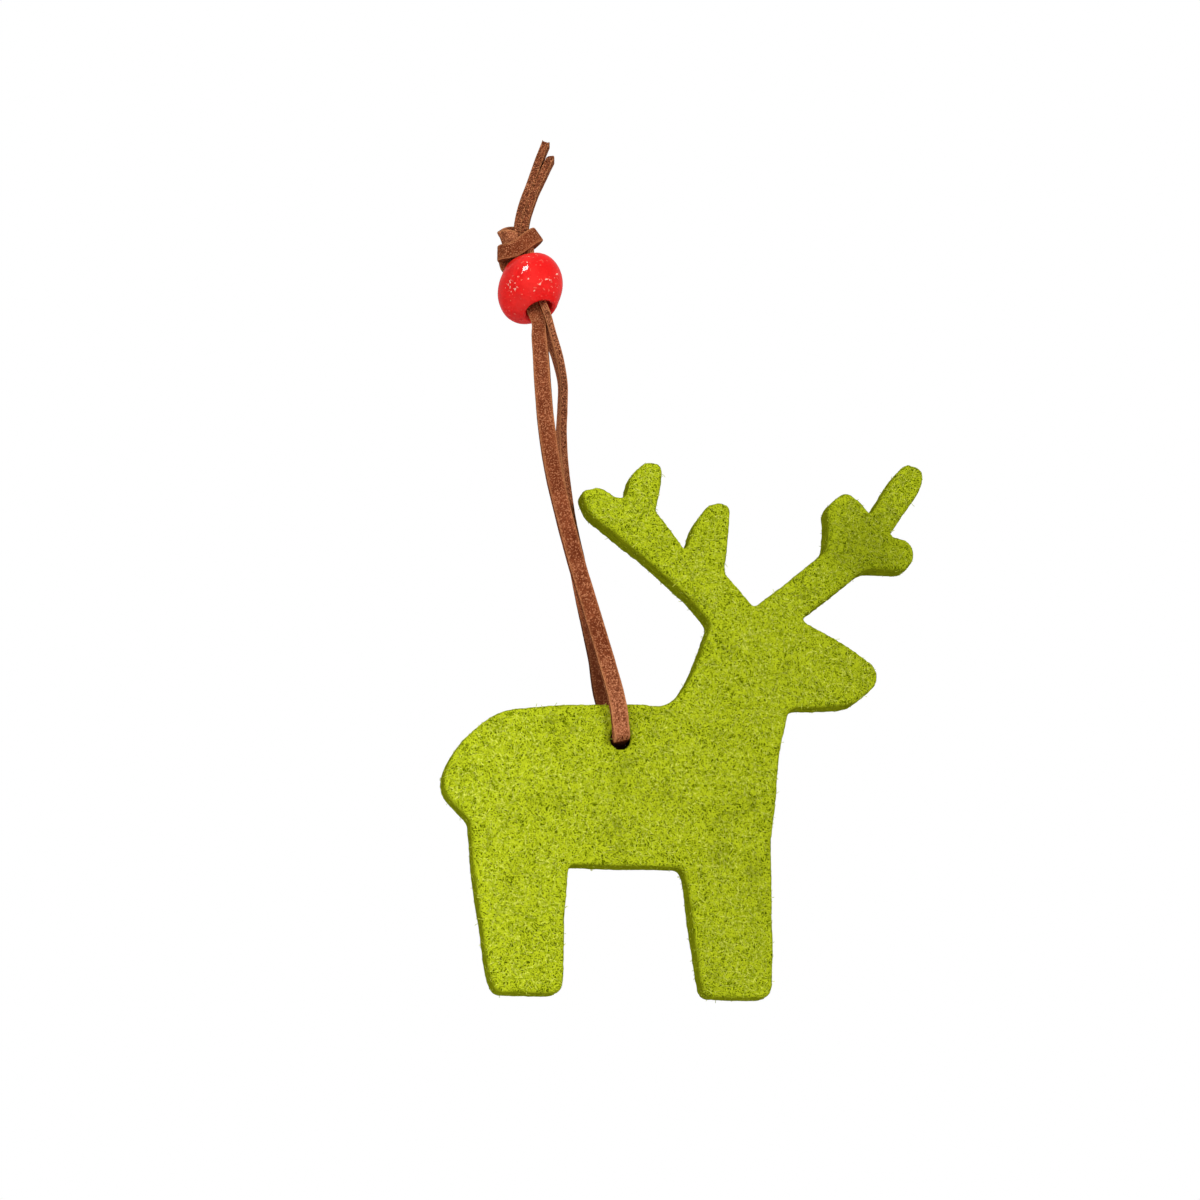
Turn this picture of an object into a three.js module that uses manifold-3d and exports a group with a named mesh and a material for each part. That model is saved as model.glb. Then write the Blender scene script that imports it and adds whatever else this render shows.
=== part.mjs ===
// A die-cut felt reindeer on a doubled suede lace, with a lacquered wooden bead and a knot above it.
// Millimetres, X to the right, Y away from the viewer, Z up. The origin is the hanging point, the
// place in the lace's loop, just under the bead, where a twig or a hook bears.
import * as THREE from 'three';
import { mergeVertices } from 'three/addons/utils/BufferGeometryUtils.js';
import Module from 'manifold-3d';

// Felt: a thick sheet cut with one die, with a round punched hole in the back
const deerWidth = 86.2;
const deerHeight = 96.5;
const feltThickness = 5;
const holeDiameter = 3.8;
const holeFromRump = 30.64;
const holeBelowBack = 6.2;

// Hanging loop: where the hole is, seen from the hanging point
const holeRightOfHangingPoint = 12.8;
const holeBelowHangingPoint = 72.2;

// Lace: flat suede with slightly broken edges
const laceWidth = 3;
const laceThickness = 1.4;
const laceChamfer = 0.3;
const laceBendRadius = 0.95;
const laceToFelt = 0.3;
const laceAboveHoleCentre = 0.35;
const laceLeftOfHoleCentre = 0.05;
const bightLean = THREE.MathUtils.degToRad(8);
const bightRise = 0.3;

// Bead: a nearly round ball with a straight bore and rounded mouths, leaning on the lace
const beadDiameter = 12.4;
const beadLength = 10.6;
const boreDiameter = 4.8;
const mouthRounding = 0.6;
const beadCentre = new THREE.Vector3(-2.72, 2.2, 10.75);
const boreUpward = new THREE.Vector3(-0.265, 0.34, 0.902).normalize();

// Knot: two crossed wraps of lace round a core, and the two legs that come up out of the bead
const frontWrapWidth = 7.8;
const frontWrapDepth = 5.8;
const frontWrapCentre = new THREE.Vector3(-4.57, 4.6, 19.6);
const frontWrapTilt = THREE.MathUtils.degToRad(-24);
const rearWrapWidth = 6.8;
const rearWrapDepth = 5;
const rearWrapCentre = new THREE.Vector3(-4.64, 4.6, 20.75);
const rearWrapTilt = THREE.MathUtils.degToRad(20);
const knotCoreWidth = 3.8;
const knotCoreDepth = 3.4;
const knotCoreHeight = 5;
const knotCoreFoot = new THREE.Vector3(-3.95, 4.6, 17.45);

// Smoothness: straight pieces that stand for a round stretch
const roundingSteps = 4;
const holeSteps = 24;
const beadSides = 32;
const beadArcSteps = 9;
const mouthArcSteps = 3;
const wrapSteps = 28;
const bightSteps = 14;

// Finishes
const limeFelt = new THREE.MeshStandardMaterial({ color: 0xa5b42b, roughness: 0.95, metalness: 0 });
const brownSuede = new THREE.MeshStandardMaterial({ color: 0x965839, roughness: 0.9, metalness: 0 });
const redLacquer = new THREE.MeshStandardMaterial({ color: 0xe62f30, roughness: 0.18, metalness: 0 });

function named(name, geometry, material) {
  const mesh = new THREE.Mesh(geometry, material);
  mesh.name = name;
  return mesh;
}

// Reindeer

// How far the die rounds a corner, on either side of it.
const crisp = 0.4;
const tight = 0.9;
const soft = 1.5;
const full = 2.2;
const wide = 3;
const broad = 3.6;

// The outline's corners, from the rump over the back and antlers to the muzzle and down the legs:
// the share of the deer's width from the rump, the share of its height from the feet, the rounding.
const rumpAndBackShares = [
  [0.054, 0.301, crisp], [-0.001, 0.35, full], [0.002, 0.393, full], [0.035, 0.445, broad],
  [0.105, 0.5, broad], [0.202, 0.512, broad], [0.313, 0.519, soft], [0.395, 0.522, soft],
];
const neckShares = [
  [0.456, 0.517, wide], [0.506, 0.582, wide], [0.542, 0.676, tight],
];
const leftAntlerShares = [
  [0.499, 0.723, soft], [0.408, 0.792, full], [0.29, 0.873, tight],
  [0.274, 0.907, soft], [0.28, 0.917, soft], [0.319, 0.924, soft], [0.346, 0.905, tight],
  [0.367, 0.907, crisp], [0.377, 0.95, soft], [0.411, 0.98, soft], [0.446, 0.973, soft],
  [0.441, 0.93, soft], [0.43, 0.885, crisp],
  [0.492, 0.811, crisp], [0.511, 0.866, soft], [0.543, 0.904, soft],
  [0.586, 0.904, soft], [0.584, 0.863, soft], [0.573, 0.774, tight],
];
const rightAntlerShares = [
  [0.633, 0.711, crisp], [0.696, 0.755, soft], [0.789, 0.826, tight],
  [0.793, 0.874, soft], [0.79, 0.91, soft], [0.832, 0.943, soft], [0.862, 0.925, tight],
  [0.885, 0.9, crisp], [0.935, 0.973, full], [0.965, 1.004, soft], [1.004, 0.989, soft],
  [0.994, 0.952, soft], [0.923, 0.859, crisp], [0.966, 0.852, soft], [0.98, 0.826, soft],
  [0.961, 0.793, soft], [0.868, 0.792, soft], [0.831, 0.764, tight],
];
const headShares = [
  [0.731, 0.692, crisp], [0.796, 0.664, full], [0.862, 0.625, soft], [0.889, 0.609, soft],
  [0.892, 0.577, soft], [0.838, 0.535, full], [0.766, 0.529, soft], [0.705, 0.525, soft],
];
const legShares = [
  [0.685, 0.456, full], [0.662, 0.265, broad], [0.663, 0.06, broad], [0.658, 0, full],
  [0.521, 0.001, soft], [0.508, 0.063, full], [0.489, 0.205, soft], [0.48, 0.229, tight],
  [0.252, 0.228, tight], [0.244, 0.14, full], [0.245, 0.086, soft], [0.239, 0, full],
  [0.107, 0.001, soft], [0.091, 0.046, soft], [0.063, 0.207, soft],
];
const outlineShares = [
  ...rumpAndBackShares, ...neckShares, ...leftAntlerShares, ...rightAntlerShares, ...headShares, ...legShares,
];

// A closed outline through rounded corners: each corner is a curve that leaves its two sides at the
// given reach, or halfway along a side that is too short for it.
function roundedOutline(corners) {
  const shape = new THREE.Shape();
  corners.forEach(({ point, reach }, i) => {
    const before = corners.at(i - 1).point;
    const after = corners[(i + 1) % corners.length].point;
    const start = point.clone().lerp(before, Math.min(reach / point.distanceTo(before), 1 / 2));
    const end = point.clone().lerp(after, Math.min(reach / point.distanceTo(after), 1 / 2));
    if (i === 0) shape.moveTo(start.x, start.y);
    else shape.lineTo(start.x, start.y);
    shape.quadraticCurveTo(point.x, point.y, end.x, end.y);
  });
  shape.closePath();
  return shape;
}

// How high the back is, of the deer's height, where the hole is punched below it.
const backShare = 0.52;

// The hole is the felt's own zero point, so the felt turns about it.
function reindeer() {
  const holeAboveFeet = backShare * deerHeight - holeBelowBack;
  const corners = outlineShares.map(([across, up, reach]) => ({
    point: new THREE.Vector2(across * deerWidth - holeFromRump, up * deerHeight - holeAboveFeet),
    reach,
  }));
  const outline = roundedOutline(corners.reverse());
  const hole = new THREE.Path().absarc(0, 0, holeDiameter / 2, 0, 2 * Math.PI, true);
  outline.holes.push(new THREE.Path(hole.getPoints(holeSteps).slice(1)));
  const geometry = new THREE.ExtrudeGeometry(outline, {
    depth: feltThickness,
    steps: 1,
    curveSegments: roundingSteps,
    bevelEnabled: false,
  });
  geometry.translate(0, 0, -feltThickness / 2);
  geometry.rotateX(Math.PI / 2);
  const mesh = named('felt_reindeer', geometry, limeFelt);
  mesh.position.set(holeRightOfHangingPoint, 0, -holeBelowHangingPoint);
  return mesh;
}

// Bead

// Half of the bead's section, closed on itself: up the bore, round the upper mouth, down the outside
// and round the lower mouth.
function beadProfile() {
  const bore = boreDiameter / 2;
  const lip = bore + mouthRounding;
  const halfLength = beadLength / 2;
  const radius = beadDiameter / 2;
  const lipAngle = Math.acos(lip / radius);
  const crown = halfLength / Math.sin(lipAngle);
  const points = [];
  for (let i = 0; i <= mouthArcSteps; i += 1) {
    const angle = Math.PI - (i / mouthArcSteps) * (Math.PI / 2);
    points.push([lip + mouthRounding * Math.cos(angle), halfLength - mouthRounding * (1 - Math.sin(angle))]);
  }
  for (let i = 1; i < beadArcSteps; i += 1) {
    const angle = lipAngle * (1 - i / beadArcSteps);
    points.push([radius * Math.cos(angle), crown * Math.sin(angle)]);
  }
  const lower = points.map(([r, height]) => [r, -height]).reverse();
  const loop = [...points, [radius, 0], ...lower].reverse();
  return [...loop, loop[0]].map(([r, height]) => new THREE.Vector2(r, height));
}

function bead() {
  const geometry = new THREE.LatheGeometry(beadProfile(), beadSides);
  const mesh = named('bead', geometry, redLacquer);
  mesh.position.copy(beadCentre);
  mesh.quaternion.setFromUnitVectors(new THREE.Vector3(0, 1, 0), boreUpward);
  return mesh;
}

// Lace

// The lace's section, with its width along X and its thickness along Y.
function laceSection() {
  const edge = laceWidth / 2;
  const face = laceThickness / 2;
  return new THREE.Shape([
    new THREE.Vector2(edge, laceChamfer - face),
    new THREE.Vector2(edge, face - laceChamfer),
    new THREE.Vector2(edge - laceChamfer, face),
    new THREE.Vector2(laceChamfer - edge, face),
    new THREE.Vector2(-edge, face - laceChamfer),
    new THREE.Vector2(-edge, laceChamfer - face),
    new THREE.Vector2(laceChamfer - edge, -face),
    new THREE.Vector2(edge - laceChamfer, -face),
  ]);
}

// The lace laid along a path. stationAt gives, for a share of the way, the centre, the direction
// along the lace, how far its width is turned from X about that direction, and how much it is squeezed.
function layLace(stationAt, steps) {
  const geometry = new THREE.ExtrudeGeometry(laceSection(), { depth: 1, steps, bevelEnabled: false });
  const place = geometry.attributes.position;
  const stations = Array.from({ length: steps + 1 }, (_, i) => {
    const { centre, along, turn = 0, squeeze = 1 } = stationAt(i / steps);
    const across = new THREE.Vector3(1, 0, 0).projectOnPlane(along).normalize().applyAxisAngle(along, turn);
    return { centre, across, face: along.clone().cross(across), squeeze };
  });
  for (let i = 0; i < place.count; i += 1) {
    const { centre, across, face, squeeze } = stations[Math.round(place.getZ(i) * steps)];
    const point = centre.clone()
      .addScaledVector(across, place.getX(i) * squeeze)
      .addScaledVector(face, place.getY(i) * squeeze);
    place.setXYZ(i, point.x, point.y, point.z);
  }
  return geometry;
}

// A free stretch through points chosen by hand, one step from each to the next. Each row is x, y, z,
// the turn of the width in degrees, and the share of its free size that the lace keeps where squeezed.
function freeStretch(route) {
  const curve = new THREE.CatmullRomCurve3(route.map(([x, y, z]) => new THREE.Vector3(x, y, z)));
  const steps = route.length - 1;
  const stationAt = (share) => {
    const [x, y, z, turn, squeeze] = route[Math.round(share * steps)];
    return {
      centre: new THREE.Vector3(x, y, z),
      along: curve.getTangent(share),
      turn: THREE.MathUtils.degToRad(turn),
      squeeze,
    };
  };
  return layLace(stationAt, steps);
}

// The strand in front of the felt, from just over the hole up through the bead's bore.
const frontStrandRoute = [
  [12.53, -3.5, -70.3, 0, 1],
  [12.38, -3.5, -68.4, 0, 1],
  [11.8, -3.5, -65.2, 0, 1],
  [10.2, -3.5, -59.4, 0, 1],
  [7.45, -3.5, -50.3, 0, 1],
  [4.75, -3.5, -41.3, 0, 1],
  [2.3, -3.5, -32.2, 0, 1],
  [0.85, -3.45, -26, -2, 1],
  [-0.55, -3.2, -16.9, -8, 1],
  [-1.15, -2.65, -9.2, -14, 0.98],
  [-1.38, -1.8, -3.4, -18, 0.95],
  [-1.58, -1.02, 0.8, -21, 0.93],
  [-1.46, -0.34, 3.1, -22, 0.83],
  [-2.2, 0.64, 5.75, -22, 0.83],
  [-3.54, 2.45, 10.38, -22, 0.83],
  [-4.84, 4.11, 14.8, -22, 0.83],
];

// The strand behind the felt, which turns its edge to the viewer on its way up to the bead.
const rearStrandRoute = [
  [12.53, 3.5, -70.3, 0, 1],
  [12.3, 3.5, -68.4, 0, 1],
  [11.55, 3.5, -66.2, 0, 1],
  [10.8, 3.5, -63.8, 0, 1],
  [10.25, 3.5, -60.8, 0, 1],
  [9.75, 3.55, -57, 0, 1],
  [8.8, 3.7, -52.1, -4, 1],
  [7.65, 4, -46.6, -10, 1],
  [6.15, 4.3, -38.8, -22, 1],
  [4.6, 4.4, -31.5, -44, 1],
  [3.8, 4.45, -24.2, -70, 1],
  [3.3, 3.7, -15.7, -84, 1],
  [3.35, 2.85, -11.2, -88, 1],
  [3.18, 1.8, -7.1, -88, 0.98],
  [2.08, 0.4, -3.1, -80, 0.97],
  [0.88, -0.5, 0.2, -76, 0.93],
  [0.62, -0.9, 3.1, -106, 0.83],
  [-0.24, 0.08, 6.5, -112, 0.83],
  [-1.6, 1.87, 11.16, -112, 0.83],
  [-2.9, 3.54, 15.59, -112, 0.83],
];

// The two tails above the knot, turned edge on to the front, with the longer one on the left.
const longTailRoute = [
  [-5.1, 4.6, 23, 80, 1],
  [-4.5, 4.6, 25.6, 80, 1],
  [-3.76, 4.6, 28.1, 80, 1],
  [-2.88, 4.6, 30.7, 80, 1],
  [-2, 4.6, 33.3, 80, 1],
  [-1.04, 4.6, 36, 80, 1],
  [0.52, 4.6, 40.3, 80, 1],
];
const shortTailRoute = [
  [-3.2, 4.6, 22.9, 80, 1],
  [-2.66, 4.6, 25.7, 80, 1],
  [-1.98, 4.6, 28, 80, 1],
  [-1.23, 4.6, 30.3, 80, 1],
  [-0.33, 4.6, 32.7, 80, 1],
  [0.55, 4.6, 34.9, 80, 1],
  [1.62, 4.6, 37.4, 80, 1],
];

// The bight: down behind the felt, forward through the hole, and up again in front.
function bight() {
  const depth = feltThickness / 2 + laceToFelt + laceThickness / 2;
  const run = depth - laceBendRadius;
  const rise = laceBendRadius + bightRise;
  const path = new THREE.Path();
  path.moveTo(depth, rise);
  path.lineTo(depth, laceBendRadius);
  path.absarc(run, laceBendRadius, laceBendRadius, 0, -Math.PI / 2, true);
  path.lineTo(-run, 0);
  path.absarc(-run, laceBendRadius, laceBendRadius, -Math.PI / 2, -Math.PI, true);
  path.lineTo(-depth, rise);
  const upright = ({ x, y }) => new THREE.Vector3(0, x, y);
  const stationAt = (share) => ({
    centre: upright(path.getPointAt(share)),
    along: upright(path.getTangentAt(share)),
  });
  const mesh = named('lace_bight', layLace(stationAt, bightSteps), brownSuede);
  mesh.position.set(
    holeRightOfHangingPoint - laceLeftOfHoleCentre,
    0,
    laceAboveHoleCentre - holeBelowHangingPoint,
  );
  mesh.rotation.y = -bightLean;
  return mesh;
}

// Knot

const wasm = await Module();
wasm.setup();

function solidOf(geometry) {
  const bare = geometry.clone();
  bare.deleteAttribute('normal');
  bare.deleteAttribute('uv');
  const merged = mergeVertices(bare);
  return new wasm.Manifold(new wasm.Mesh({
    numProp: 3,
    vertProperties: new Float32Array(merged.attributes.position.array),
    triVerts: new Uint32Array(merged.index.array),
  }));
}

function geometryOf(solid) {
  const { vertProperties, triVerts } = solid.getMesh();
  const geometry = new THREE.BufferGeometry();
  geometry.setAttribute('position', new THREE.BufferAttribute(vertProperties, 3));
  geometry.setIndex(new THREE.BufferAttribute(triVerts, 1));
  geometry.computeVertexNormals();
  return geometry;
}

// An oval plug of lace with its own axis along Z, centred on the origin.
function oval(width, depth, height) {
  const outline = new THREE.Shape().absellipse(0, 0, width / 2, depth / 2, 0, 2 * Math.PI);
  const rim = new THREE.Shape(outline.getPoints(wrapSteps).slice(1));
  const geometry = new THREE.ExtrudeGeometry(rim, { depth: height, steps: 1, bevelEnabled: false });
  geometry.translate(0, 0, -height / 2);
  return geometry;
}

// A wrap goes round the packed lace inside the knot, so it is as solid as a tight band is.
function wrap(width, depth, tilt, centre) {
  const geometry = oval(width, depth, laceWidth);
  geometry.rotateY(tilt);
  geometry.translate(centre.x, centre.y, centre.z);
  return geometry;
}

function core() {
  const geometry = oval(knotCoreWidth, knotCoreDepth, knotCoreHeight);
  geometry.translate(knotCoreFoot.x, knotCoreFoot.y, knotCoreFoot.z + knotCoreHeight / 2);
  return geometry;
}

// The legs leave the bead's upper mouth. The left one bulges over the bead's shoulder.
const leftLegRoute = [
  [-4.95, 4.24, 15.15, -22, 0.83],
  [-5.02, 4.34, 15.38, -22, 0.83],
  [-5.75, 4.8, 16, -14, 0.9],
  [-6.75, 5.05, 16.9, -4, 1],
  [-7.1, 4.9, 18.3, 0, 1],
];
const rightLegRoute = [
  [-3.01, 3.67, 15.95, -112, 0.83],
  [-3.09, 3.78, 16.22, -112, 0.83],
  [-3.35, 4.1, 17.2, -112, 0.9],
  [-3.6, 4.4, 18.6, -100, 1],
];

function knot() {
  const pieces = [
    wrap(frontWrapWidth, frontWrapDepth, frontWrapTilt, frontWrapCentre),
    wrap(rearWrapWidth, rearWrapDepth, rearWrapTilt, rearWrapCentre),
    core(),
    freeStretch(leftLegRoute),
    freeStretch(rightLegRoute),
  ];
  const whole = pieces.map(solidOf).reduce((sum, piece) => sum.add(piece));
  return named('lace_knot', geometryOf(whole), brownSuede);
}

// Assembly
const ornament = new THREE.Group();
ornament.name = 'reindeer_ornament';
ornament.add(
  reindeer(),
  bight(),
  named('lace_front_strand', freeStretch(frontStrandRoute), brownSuede),
  named('lace_rear_strand', freeStretch(rearStrandRoute), brownSuede),
  bead(),
  knot(),
  named('lace_long_tail', freeStretch(longTailRoute), brownSuede),
  named('lace_short_tail', freeStretch(shortTailRoute), brownSuede),
);

export default ornament;
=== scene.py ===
import math

import bmesh
import bpy
import numpy as np
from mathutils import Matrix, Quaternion, Vector, noise
from mathutils.kdtree import KDTree


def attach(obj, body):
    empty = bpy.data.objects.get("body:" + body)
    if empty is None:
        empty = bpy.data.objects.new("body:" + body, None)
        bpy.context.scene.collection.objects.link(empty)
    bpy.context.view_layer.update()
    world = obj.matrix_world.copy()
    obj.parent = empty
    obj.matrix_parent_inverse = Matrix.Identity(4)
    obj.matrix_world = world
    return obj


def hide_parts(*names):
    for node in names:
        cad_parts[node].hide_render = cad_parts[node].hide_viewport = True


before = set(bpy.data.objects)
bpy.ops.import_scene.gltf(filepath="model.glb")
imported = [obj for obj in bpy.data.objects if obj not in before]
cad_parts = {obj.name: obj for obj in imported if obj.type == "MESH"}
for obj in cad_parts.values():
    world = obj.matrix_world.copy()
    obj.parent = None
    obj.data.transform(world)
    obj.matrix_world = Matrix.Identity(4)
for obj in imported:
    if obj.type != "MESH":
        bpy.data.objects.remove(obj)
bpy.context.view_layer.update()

# The view
# A long lens looks up at the hanging ornament from half a metre away, a little below it and to its
# left. A plain pale floor lies under it. The light is soft, with more of it from the upper right, and
# the lamp on the upper left only gives gloss its highlight.
eye = Vector((-0.08175, -0.47897, -0.17221))
gaze = Vector((0.1815, 0.9514, 0.2487))
focal_length_mm = 86.4
sensor_width_mm = 36
floor_height = -0.36
floor_half_width = 4
floor_grey = 0.8
sky_strength = 0.36
sky_in_gloss = 0.15
lamps = {
    "key": {"place": (0.5, -0.62, 0.38), "width": 0.26, "watts": 4.2, "glints": False},
    "fill": {"place": (-0.55, -0.55, 0.25), "width": 0.6, "watts": 2.9, "glints": False},
    "top": {"place": (-0.36, -0.45, 0.58), "width": 0.3, "watts": 18, "glints": True},
    "back": {"place": (0.1, 0.7, 0.5), "width": 0.6, "watts": 3.0, "glints": False},
}
lamp_target = Vector((0.02, 0, -0.05))


class Value:
    """The value of a socket. Arithmetic on it adds Math nodes to the tree that it belongs to."""

    def __init__(self, nodes, socket):
        self.nodes = nodes
        self.socket = socket

    def math(self, operation, first, second):
        return self.nodes.node("ShaderNodeMath", {"operation": operation}, {0: first, 1: second})

    def __add__(self, other):
        return self.math("ADD", self, other)

    def __sub__(self, other):
        return self.math("SUBTRACT", self, other)

    def __rsub__(self, other):
        return self.math("SUBTRACT", other, self)

    def __mul__(self, other):
        return self.math("MULTIPLY", self, other)

    def __rtruediv__(self, other):
        return self.math("DIVIDE", other, self)

    __radd__ = __add__

    def at_least(self, other):
        """The larger of the two."""
        return self.math("MAXIMUM", self, other)

    def at_most(self, other):
        """The smaller of the two."""
        return self.math("MINIMUM", self, other)

    def ramp(self, low, high):
        """Eases from 0 at low to 1 at high, or the other way down where low is above high."""
        sockets = {"Value": self, "From Min": low, "From Max": high}
        return self.nodes.node("ShaderNodeMapRange", {"interpolation_type": "SMOOTHSTEP"}, sockets)


class Nodes:
    """The nodes of one finish, of the sky, or of one thing that grows on a surface."""

    def __init__(self, tree):
        self.tree = tree
        self.tree.nodes.clear()

    def node(self, kind, settings, sockets, output=0):
        """Adds a node: its settings first, then the value or the link of each socket."""
        made = self.tree.nodes.new(kind)
        for name, setting in settings.items():
            setattr(made, name, setting)
        for name, value in sockets.items():
            if isinstance(value, Value):
                self.tree.links.new(value.socket, made.inputs[name])
            else:
                made.inputs[name].default_value = value
        return Value(self, made.outputs[output]) if made.outputs else None

    def mix(self, share, first, second):
        """A colour on the way from first to second."""
        return self.node("ShaderNodeMix", {"data_type": "RGBA"}, {0: share, 6: first, 7: second}, 2)

    def grain(self, place, size, detail=2, output=0):
        """Noise whose blotches are about this many metres across."""
        sockets = {"Vector": place, "Scale": 1 / size, "Detail": detail}
        return self.node("ShaderNodeTexNoise", {}, sockets, output)

    def vector(self, operation, first, second):
        return self.node("ShaderNodeVectorMath", {"operation": operation}, {0: first, 1: second})

    def place(self):
        """Where on the piece a point lies, in metres."""
        return self.node("ShaderNodeTexCoord", {}, {}, "Object")

    def marked(self, name):
        """The number that the piece's mesh carries under this name."""
        return self.node("ShaderNodeAttribute", {"attribute_name": name}, {}, "Fac")


def finish(name):
    """A new material and its nodes."""
    made = bpy.data.materials.new(name)
    made.use_nodes = True
    return made, Nodes(made.node_tree)


def show(name, data):
    """Puts a new object into the scene, at the origin."""
    made = bpy.data.objects.new(name, data)
    bpy.context.scene.collection.objects.link(made)
    return made


def make_camera():
    """The camera at the eye, upright, turned along the gaze."""
    lens = bpy.data.cameras.new("camera")
    lens.lens = focal_length_mm
    lens.sensor_width = sensor_width_mm
    camera = show("camera", lens)
    camera.location = eye
    camera.rotation_mode = "QUATERNION"
    camera.rotation_quaternion = gaze.to_track_quat("-Z", "Y")
    return camera


def make_lamp(name, place, width, watts, glints):
    """A round soft lamp. It only lights surfaces or, if it glints, is only mirrored in gloss."""
    light = bpy.data.lights.new(name, "AREA")
    light.shape = "DISK"
    light.size = width
    light.energy = watts
    lamp = show(name, light)
    lamp.visible_glossy = glints
    lamp.visible_diffuse = not glints
    lamp.location = place
    lamp.rotation_mode = "QUATERNION"
    lamp.rotation_quaternion = (lamp_target - Vector(place)).to_track_quat("-Z", "Y")


def make_sky():
    """Soft light all round, plain white where the camera sees it, and faint where gloss mirrors it."""
    world = bpy.data.worlds.new("studio")
    world.use_nodes = True
    sky = Nodes(world.node_tree)
    seen, shiny, through = (
        sky.node("ShaderNodeLightPath", {}, {}, ray)
        for ray in ("Is Camera Ray", "Is Glossy Ray", "Is Transmission Ray")
    )
    white = seen.at_least(shiny * sky_in_gloss).at_least(through)
    strength = white * (1 - sky_strength) + sky_strength
    glow = sky.node("ShaderNodeBackground", {}, {"Strength": strength, "Color": (1, 1, 1, 1)})
    sky.node("ShaderNodeOutputWorld", {}, {"Surface": glow})
    return world


def make_floor():
    """A plain matt floor, well below the ornament."""
    edge = floor_half_width
    corners = [(-edge, -edge), (edge, -edge), (edge, edge), (-edge, edge)]
    mesh = bpy.data.meshes.new("floor")
    mesh.from_pydata([(x, y, floor_height) for x, y in corners], [], [(0, 1, 2, 3)])
    paint, matt = finish("pale_floor")
    grey = (floor_grey, floor_grey, floor_grey, 1)
    coat = matt.node("ShaderNodeBsdfDiffuse", {}, {"Color": grey})
    matt.node("ShaderNodeOutputMaterial", {}, {"Surface": coat})
    mesh.materials.append(paint)
    show("floor", mesh)


scene = bpy.context.scene
scene.view_settings.view_transform = "Standard"
scene.camera = make_camera()
scene.world = make_sky()
make_floor()
for lamp_name, lamp in lamps.items():
    make_lamp(lamp_name, **lamp)

# The lace
# One length of flat suede, cut 3 mm wide from a soft brown split hide, so its cut edges are paler.
# It is threaded through the felt, and both strands run up through the bead into the knot.


def colour(red, green, blue):
    """A colour given in the usual 0 to 255 steps, in the linear values that shaders take."""
    steps = [v / 255 for v in (red, green, blue)]
    return (*(v / 12.92 if v < 0.04045 else ((v + 0.055) / 1.055) ** 2.4 for v in steps), 1)


suede_brown = colour(120, 58, 32)
suede_warm_brown = colour(142, 74, 44)
suede_pale_tone = colour(196, 122, 84)
# Painted shade: the colour that a tone below 0 takes the suede towards.
suede_painted_shade = colour(52, 22, 10)
suede_dark_speck = colour(80, 32, 14)
suede_pale_speck = colour(210, 140, 98)
suede_pale_edge = colour(206, 136, 88)
suede_pit = colour(60, 24, 12)
suede_speck_size = 0.00024
suede_pore_size = 0.0003
suede_blotch_size = 0.0035
suede_bump = 0.00015

lace_width = 0.003
lace_thickness = 0.0014
lace_corner = 0.0003
lace_corner_steps = 4
lace_face_steps = 10
lace_rim = 0.0005
lace_step = 0.00035
nap_depth = 0.00002
nap_size = 0.0005
bow_depth = 0.00005
bow_size = 0.004
end_reach = 2 * lace_width

# Each change of a strand's tone has its full amount, the height where it starts and the height where
# it is full. Tones run from -1, the darkest painted shade, to 1, the palest suede; a tone below 0 is
# painted shade. The bight grows pale down its fold, and takes painted shade with depth inside the felt.
front_tones = [(0.8, -0.056, -0.066), (0.15, -0.03, -0.01)]
# The rear strand's second change darkens it just above the felt: painted shadow of the front strand.
rear_tones = [(1.05, -0.045, -0.015), (-0.75, -0.04, -0.055)]
fold_start, fold_full = -0.0716, -0.0721
# The bight's painted shade inside the felt starts at this distance from the felt's middle and is full
# at that.
hole_shade_start, hole_shade_full = 0.003, 0.0025

# Each row of a route is a place in metres, the turn of the lace's width in degrees, and the share of
# its free size that it keeps where it is squeezed. They are the lace's routes in the part's own source,
# drawn together in the bead's mouth so that the soft strands touch.
front_strand_route = [
    (0.01253, -0.0035, -0.0703, 0, 0.94),
    (0.01245, -0.0035, -0.0694, 0, 1),
    (0.01238, -0.0035, -0.0684, 0, 1),
    (0.0118, -0.0035, -0.0652, 0, 1),
    (0.0102, -0.0035, -0.0594, 0, 1),
    (0.00745, -0.0035, -0.0503, 0, 1),
    (0.00475, -0.0035, -0.0413, 0, 1),
    (0.0023, -0.0035, -0.0322, 0, 1),
    (0.00085, -0.00345, -0.026, -2, 1),
    (-0.00055, -0.0032, -0.0169, -8, 1),
    (-0.00115, -0.00265, -0.0092, -14, 0.98),
    (-0.00138, -0.0018, -0.0034, -18, 0.95),
    (-0.00155, -0.00102, 0.0008, -21, 0.92),
    (-0.00146, -0.00034, 0.0031, -22, 0.86),
    (-0.0022, 0.00064, 0.00575, -22, 0.83),
    (-0.00354, 0.00245, 0.01038, -22, 0.83),
    (-0.00484, 0.00411, 0.0148, -22, 0.83),
]
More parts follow.
